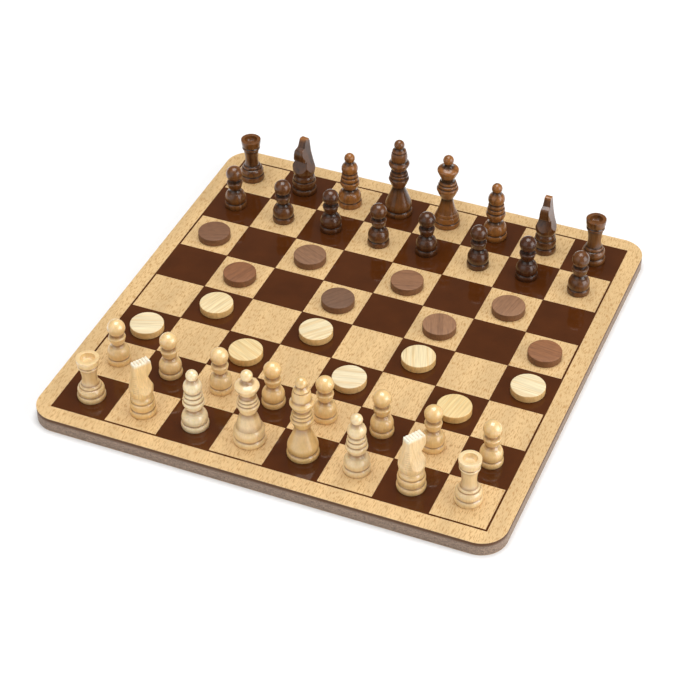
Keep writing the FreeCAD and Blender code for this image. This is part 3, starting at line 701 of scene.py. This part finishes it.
def lathe_tree():
    """Geometry nodes that turn an outline of points round the upright axis into a closed piece."""
    if "Lathe" in bpy.data.node_groups:
        return bpy.data.node_groups["Lathe"]
    tree, given = new_tree("Lathe", "Outline", LATHE_INPUTS)
    line = given["Outline"]
    rows = add(tree, "GeometryNodeAttributeDomainSize", {"Geometry": line}).outputs["Point Count"]
    columns = maths(tree, "ADD", given["Segments"], 1.0)
    grid = add(tree, "GeometryNodeMeshGrid", {"Vertices X": columns, "Vertices Y": rows}).outputs["Mesh"]
    index = add(tree, "GeometryNodeInputIndex").outputs[0]
    row = maths(tree, "FLOORED_MODULO", index, rows)
    column = maths(tree, "FLOOR", maths(tree, "DIVIDE", maths(tree, "ADD", index, 0.5), rows))
    point = sample(tree, "FLOAT_VECTOR", line, add(tree, "GeometryNodeInputPosition").outputs[0], row)
    point = add(tree, "ShaderNodeSeparateXYZ", {"Vector": point}).outputs
    turn = maths(tree, "DIVIDE", maths(tree, "MULTIPLY", column, math.tau), given["Segments"])
    across = maths(tree, "MULTIPLY", point["X"], maths(tree, "COSINE", turn))
    away = maths(tree, "MULTIPLY", point["X"], maths(tree, "SINE", turn))
    place = add(tree, "ShaderNodeCombineXYZ", {"X": across, "Y": away, "Z": point["Z"]}).outputs[0]
    turned = add(tree, "GeometryNodeSetPosition", {
        "Geometry": grid, "Position": place, "Offset": given["Place"],
    }).outputs[0]
    # The painted groove shade, carried from the outline onto each point of the turned piece
    depth = add(tree, "GeometryNodeInputNamedAttribute", {"Name": "cavity"}, data_type="FLOAT")
    groove = sample(tree, "FLOAT", line, depth.outputs["Attribute"], row)
    grooved = store(tree, turned, "cavity", groove)
    closed = add(tree, "GeometryNodeMergeByDistance", {"Geometry": grooved, "Distance": 2 * WELD}).outputs[0]
    piece = add(tree, "GeometryNodeSetShadeSmooth", {"Geometry": closed, "Shade Smooth": True}).outputs[0]
    for name in ("Tone", "Grain", "Stain"):
        piece = store(tree, piece, name.lower(), given[name])
    return end_tree(tree, piece, given["Wood"])


def through_nodes(name, mesh, tree, values):
    """Runs a mesh through a geometry nodes tree and returns a plain object made of the result."""
    start = new_object(name + "_start", mesh)
    modifier = start.modifiers.new("Nodes", "NODES")
    modifier.node_group = tree
    identifiers = {item.name: item.identifier for item in tree.interface.items_tree if item.in_out == "INPUT"}
    for socket, value in values.items():
        modifier[identifiers[socket]] = value
    made = plain_copy(start, name)
    bpy.data.objects.remove(start)
    return made


def plain_copy(start, name):
    """A new object with the finished mesh of another one and no modifiers."""
    bpy.context.view_layer.update()
    evaluated = start.evaluated_get(bpy.context.evaluated_depsgraph_get())
    mesh = bpy.data.meshes.new_from_object(evaluated)
    mesh.name = name
    return new_object(name, mesh)


def stand_for(piece, node, body):
    """Lets a finished piece ride on its body in place of its node."""
    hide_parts(node)
    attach(piece, body)


def turn_piece(node, body, points, place, grain=0.0):
    """Turns one outline on the lathe and puts the piece in its node's place."""
    mesh = bpy.data.meshes.new(node + "_outline")
    turning = settings().turning
    soft = soften(points, turning.softening)
    edges = [(number, number + 1) for number in range(len(soft) - 1)]
    mesh.from_pydata([(point.x, 0.0, point.y) for point in soft], edges, [])
    # How far each point lies in a groove, which sets the painted shade there; a rook's cup gets none
    cavity = mesh.attributes.new("cavity", "FLOAT", "POINT")
    depths = [hollow(soft, number, turning.hollow_reach) for number in range(len(soft))]
    cavity.data.foreach_set("value", [min(1.0, depth / turning.hollow_depth) for depth in depths])
    piece = through_nodes(node + "_turned", mesh, lathe_tree(), {
        "Segments": turning.segments, "Place": place, "Tone": TONES[body], "Grain": grain,
        "Stain": STAINS.get(body, 0.0), "Wood": finish_for(slot_of(node)),
    })
    stand_for(piece, node, body)


def turn_balled(node, kind):
    """Turns a piece that ends in a ball. A stout piece has a big ball."""
    turning = settings().turning
    rows, neck_share = BALLED[kind]
    width, height, place = piece_sizes(node)
    ball = getattr(turning, kind + "_ball") * width / getattr(turning, kind + "_foot")
    seat = ball_neck(ball, height, neck_share)
    points = outline(rows, foot_radius(rows, width, seat), seat)
    points.append(Vector((neck_share * ball, seat)))
    add_ball(points, ball, height)
    turn_piece(node, node, points, place)


def turn_rook(node):
    """Turns a rook with its cup."""
    turning = settings().turning
    width, height, place = piece_sizes(node)
    points = outline(ROOK_SHARES, foot_radius(ROOK_SHARES, width, height), height)
    lip = Vector((turning.cup_width * width / turning.rook_foot, height))
    floor = Vector((ROOK_CUP_FLOOR_SHARE * lip.x, height - turning.cup_depth))
    points += [lip] + arc_points(lip, floor, -ROOK_CUP_BULGE) + [Vector((0.0, floor.y))]
    turn_piece(node, node, points, place)


def turn_knight_base(node, body):
    """Turns a knight's base with the socket for its head."""
    knight = settings().knight
    width, height, place = piece_sizes(node)
    points = outline(KNIGHT_BASE_SHARES, foot_radius(KNIGHT_BASE_SHARES, width, height), height)
    rim = knight.socket_width / 2
    floor = height - knight.socket_depth
    points += [Vector((rim, height)), Vector((rim, floor)), Vector((0.0, floor))]
    turn_piece(node, body, points, place)


CARVING_INPUTS = (
    ("Tone", "Float"), ("Top", "Float"), ("Crest Depth", "Float"), ("Hollow Depth", "Float"), ("Wood", "Material"),
)


def carving_tree():
    """Geometry nodes that mark a carved shape's hollows for painted shade and paint a highlight on its crest."""
    if "Carving" in bpy.data.node_groups:
        return bpy.data.node_groups["Carving"]
    tree, given = new_tree("Carving", "Shape", CARVING_INPUTS)
    place = add(tree, "GeometryNodeInputPosition").outputs[0]
    around = add(tree, "GeometryNodeBlurAttribute", {"Value": place, "Iterations": HOLLOW_BLUR},
                 data_type="FLOAT_VECTOR").outputs["Value"]
    inwards = add(tree, "ShaderNodeVectorMath", {0: around, 1: place}, operation="SUBTRACT").outputs[0]
    normal = add(tree, "GeometryNodeInputNormal").outputs[0]
    depth = add(tree, "ShaderNodeVectorMath", {0: inwards, 1: normal}, operation="DOT_PRODUCT").outputs["Value"]
    # Painted shade in the carving's hollows, deeper hollows darker
    cavity = maths(tree, "MAXIMUM", maths(tree, "DIVIDE", depth, given["Hollow Depth"]), 0.0)
    below = maths(tree, "SUBTRACT", given["Top"], upward(tree, place))
    # The top of the head is painted paler as a highlight, fading out over the highlight depth
    crest = maths(tree, "DIVIDE", below, given["Crest Depth"])
    highlit = maths(tree, "MAXIMUM", maths(tree, "SUBTRACT", 1.0, crest), 0.0)
    marked = store(tree, given["Shape"], "cavity", maths(tree, "MINIMUM", cavity, 1.0))
    tone = maths(tree, "ADD", given["Tone"], highlit)
    marked = store(tree, marked, "tone", maths(tree, "MINIMUM", tone, 1.0))
    return end_tree(tree, marked, given["Wood"])


def carve_head(node, body):
    """Finishes a knight's carved head: the CAD shape with its edges softened by sanding."""
    knight = settings().knight
    mesh = frame["nodes"][node].data.copy()
    shape = bmesh.new()
    shape.from_mesh(mesh)
    bmesh.ops.remove_doubles(shape, verts=shape.verts, dist=WELD)
    shape.to_mesh(mesh)
    shape.free()
    start = new_object(node + "_start", mesh)
    grit = start.modifiers.new("Grit", "REMESH")
    grit.mode = "VOXEL"
    grit.voxel_size = knight.grit
    grit.use_smooth_shade = True
    sanding = start.modifiers.new("Sanding", "SMOOTH")
    sanding.factor = SANDING_SHARE
    sanding.iterations = knight.sanding
    sanded = plain_copy(start, node + "_sanded")
    bpy.data.objects.remove(start)
    piece = through_nodes(node + "_carved", sanded.data, carving_tree(), {
        "Tone": TONES[body], "Top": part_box(node)[1].z, "Crest Depth": knight.highlight_depth,
        "Hollow Depth": knight.hollow_depth, "Wood": finish_for(slot_of(node)),
    })
    bpy.data.objects.remove(sanded)
    stand_for(piece, node, body)


def turn_man(node, grain):
    """Turns one draughtsman, a plain disc with broken edges and a ring of points within each flat face."""
    width, height, place = piece_sizes(node)
    arris = settings().turning.man_arris
    ring = width / 3
    rows = (
        (0.0, 0.0), (ring, 0.0), (width - arris, 0.0), (width, arris),
        (width, height - arris), (width - arris, height), (ring, height), (0.0, height),
    )
    turn_piece(node, node, [Vector(row) for row in rows], place, grain)


PLATE_INPUTS = (
    ("Side", "Float"), ("Corner", "Float"), ("Steps", "Int"), ("Bottom", "Float"), ("Thickness", "Float"),
    ("Finish", "Material"),
)


def plate_tree():
    """Geometry nodes for a square plate with round corners."""
    if "Plate" in bpy.data.node_groups:
        return bpy.data.node_groups["Plate"]
    tree, given = new_tree("Plate", "Start", PLATE_INPUTS)
    square = add(tree, "GeometryNodeCurvePrimitiveQuadrilateral", {
        "Width": given["Side"], "Height": given["Side"],
    }).outputs[0]
    rounded = add(tree, "GeometryNodeFilletCurve", {
        "Curve": square, "Count": given["Steps"], "Radius": given["Corner"],
    }, mode="POLY").outputs[0]
    face = add(tree, "GeometryNodeFillCurve", {"Curve": rounded}, mode="NGONS").outputs[0]
    low = add(tree, "ShaderNodeCombineXYZ", {"Z": given["Bottom"]}).outputs[0]
    laid = add(tree, "GeometryNodeSetPosition", {"Geometry": face, "Offset": low}).outputs[0]
    raised = add(tree, "GeometryNodeExtrudeMesh", {
        "Mesh": laid, "Offset Scale": given["Thickness"], "Individual": False,
    }).outputs[0]
    under = add(tree, "GeometryNodeFlipFaces", {"Mesh": laid}).outputs[0]
    both = add(tree, "GeometryNodeJoinGeometry")
    for half in (raised, under):
        tree.links.new(half, both.inputs[0])
    closed = add(tree, "GeometryNodeMergeByDistance", {"Geometry": both.outputs[0], "Distance": WELD}).outputs[0]
    return end_tree(tree, closed, given["Finish"])


def lay_plate(node):
    """One of the board's plates, with its edges softened."""
    board = settings().board
    low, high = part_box(node)
    thickness = high.z - low.z
    plate = through_nodes(node + "_plate", bpy.data.meshes.new(node + "_seed"), plate_tree(), {
        "Side": high.x - low.x, "Corner": board.corner_radius, "Steps": board.corner_steps, "Bottom": low.z,
        "Thickness": thickness, "Finish": finish_for(slot_of(node)),
    })
    edge = plate.modifiers.new("Arris", "BEVEL")
    edge.width = min(board.arris, LARGEST_ARRIS_SHARE * thickness)
    edge.segments = 2
    edge.limit_method = "ANGLE"
    edge.angle_limit = ARRIS_CORNER
    finished = plain_copy(plate, node + "_laid")
    bpy.data.objects.remove(plate)
    for polygon in finished.data.polygons:
        polygon.use_smooth = abs(polygon.normal.z) < LEVEL
    stand_for(finished, node, "board")


class PieceOperator:
    """What the set's operators share."""
    bl_options = {"REGISTER", "UNDO"}


class GAMESET_OT_board(PieceOperator, bpy.types.Operator):
    """Lay the board's core and its two sheets"""
    bl_idname = "gameset.board"
    bl_label = "Board"

    def execute(self, context):
        for node in ("board_core", "top_sheet", "back_sheet"):
            lay_plate(node)
        return {"FINISHED"}


class GAMESET_OT_print(PieceOperator, bpy.types.Operator):
    """Ink the printed squares and the line round them"""
    bl_idname = "gameset.print_squares"
    bl_label = "Printed squares"

    def execute(self, context):
        film = frame["nodes"]["dark_print"].data
        film.materials.clear()
        film.materials.append(finish_for(slot_of("dark_print")))
        return {"FINISHED"}


class GAMESET_OT_pawns(PieceOperator, bpy.types.Operator):
    """Turn the pawns"""
    bl_idname = "gameset.pawns"
    bl_label = "Pawns"

    def execute(self, context):
        for side in SIDES:
            for number in range(1, PAWNS_A_SIDE + 1):
                turn_balled(f"{side}_pawn_{number}", "pawn")
        return {"FINISHED"}


class GAMESET_OT_rooks(PieceOperator, bpy.types.Operator):
    """Turn the rooks"""
    bl_idname = "gameset.rooks"
    bl_label = "Rooks"

    def execute(self, context):
        for side in SIDES:
            for hand in HANDS:
                turn_rook(f"{side}_rook_{hand}")
        return {"FINISHED"}


class GAMESET_OT_bishops(PieceOperator, bpy.types.Operator):
    """Turn the bishops"""
    bl_idname = "gameset.bishops"
    bl_label = "Bishops"

    def execute(self, context):
        for side in SIDES:
            for hand in HANDS:
                turn_balled(f"{side}_bishop_{hand}", "bishop")
        return {"FINISHED"}


class GAMESET_OT_queens(PieceOperator, bpy.types.Operator):
    """Turn the two queens, the dark one slimmer"""
    bl_idname = "gameset.queens"
    bl_label = "Queens"

    def execute(self, context):
        turn_balled("light_queen", "queen")
        turn_balled("dark_queen", "slim_queen")
        return {"FINISHED"}


class GAMESET_OT_kings(PieceOperator, bpy.types.Operator):
    """Turn the two kings"""
    bl_idname = "gameset.kings"
    bl_label = "Kings"

    def execute(self, context):
        for side in SIDES:
            turn_balled(f"{side}_king", "king")
        return {"FINISHED"}


class GAMESET_OT_knights(PieceOperator, bpy.types.Operator):
    """Turn the knights' bases and finish their carved heads"""
    bl_idname = "gameset.knights"
    bl_label = "Knights"

    def execute(self, context):
        for side in SIDES:
            for hand in HANDS:
                body = f"{side}_knight_{hand}"
                turn_knight_base(body + "_base", body)
                carve_head(body + "_head", body)
        return {"FINISHED"}


class GAMESET_OT_draughtsmen(PieceOperator, bpy.types.Operator):
    """Turn the draughtsmen"""
    bl_idname = "gameset.draughtsmen"
    bl_label = "Draughtsmen"

    def execute(self, context):
        for side in SIDES:
            for number, turn in enumerate(GRAIN_TURNS, 1):
                turn_man(f"{side}_man_{number}", math.radians(turn))
        return {"FINISHED"}


class GAMESET_OT_stage(PieceOperator, bpy.types.Operator):
    """Set up the floor, the lights and the camera"""
    bl_idname = "gameset.stage"
    bl_label = "Stage"

    def execute(self, context):
        stage = settings().stage
        lay_floor(stage)
        light_stage(stage)
        place_camera(stage)
        return {"FINISHED"}


def lay_floor(stage):
    """A plain pale floor under the board."""
    half = stage.floor_size / 2
    mesh = bpy.data.meshes.new("floor")
    low = CAD_BOX[0][2]
    corners = [(-half, -half, low), (half, -half, low), (half, half, low), (-half, half, low)]
    mesh.from_pydata(corners, [], [(0, 1, 2, 3)])
    finish, tree, shader = new_finish("floor")
    connect(tree, shader, {"Base Color": opaque(stage.floor_tint), "Roughness": 0.9})
    mesh.materials.append(finish)
    new_object("floor", mesh)


def soft_light(name, place, aim, size, power):
    """A square soft light turned towards a point."""
    lamp = bpy.data.lights.new(name, "AREA")
    lamp.size = size
    lamp.energy = power
    made = new_object(name, lamp)
    made.location = place
    made.rotation_euler = (Vector(aim) - Vector(place)).to_track_quat("-Z", "Y").to_euler()


def light_stage(stage):
    """The soft lights, and an even white fill."""
    for name, (place, aim, size) in LIGHTS.items():
        soft_light(name, place, aim, size, getattr(stage, name))
    world = bpy.data.worlds.new("fill")
    bpy.context.scene.world = world
    world.use_nodes = True
    tree = world.node_tree
    connect(tree, tree.nodes["Background"], {"Color": (1.0, 1.0, 1.0, 1.0), "Strength": stage.sky})


def place_camera(stage):
    """The camera that was fitted to the board's squares."""
    camera = bpy.data.cameras.new("camera")
    camera.sensor_width = SENSOR_WIDTH
    camera.lens = stage.lens
    made = new_object("camera", camera)
    back = -Vector(stage.camera_aim).normalized()
    right = Vector(stage.camera_up).cross(back).normalized()
    up = back.cross(right)
    turn = Matrix((right, up, back)).transposed().to_4x4()
    made.matrix_world = Matrix.Translation(Vector(stage.camera_place)) @ turn
    bpy.context.scene.camera = made
    bpy.context.scene.view_settings.view_transform = "Standard"


STEPS = (
    GAMESET_OT_board, GAMESET_OT_print, GAMESET_OT_pawns, GAMESET_OT_rooks, GAMESET_OT_bishops, GAMESET_OT_queens,
    GAMESET_OT_kings, GAMESET_OT_knights, GAMESET_OT_draughtsmen, GAMESET_OT_stage,
)


class GAMESET_PT_panel(bpy.types.Panel):
    """The set's steps and sizes in the sidebar"""
    bl_idname = "GAMESET_PT_panel"
    bl_label = "Chess and draughts set"
    bl_space_type = "VIEW_3D"
    bl_region_type = "UI"
    bl_category = "Game set"

    def draw(self, context):
        for step in STEPS:
            self.layout.operator(step.bl_idname)
        for name in ("board", "turning", "knight", "finish", "stage"):
            group = getattr(context.scene.game_set, name)
            column = self.layout.column()
            column.label(text=name.capitalize())
            for key in group.bl_rna.properties.keys():
                if key not in ("rna_type", "name"):
                    column.prop(group, key)


CLASSES = (BoardSettings, TurningSettings, KnightSettings, FinishSettings, StageSettings, GameSetSettings,
           *STEPS, GAMESET_PT_panel)


def register():
    for item in CLASSES:
        bpy.utils.register_class(item)
    bpy.types.Scene.game_set = PointerProperty(type=GameSetSettings)


def unregister():
    del bpy.types.Scene.game_set
    for item in reversed(CLASSES):
        bpy.utils.unregister_class(item)


def main():
    register()
    bpy.ops.gameset.board()
    bpy.ops.gameset.print_squares()
    bpy.ops.gameset.pawns()
    bpy.ops.gameset.rooks()
    bpy.ops.gameset.bishops()
    bpy.ops.gameset.queens()
    bpy.ops.gameset.kings()
    bpy.ops.gameset.knights()
    bpy.ops.gameset.draughtsmen()
    bpy.ops.gameset.stage()


if __name__ == "__main__":
    main()
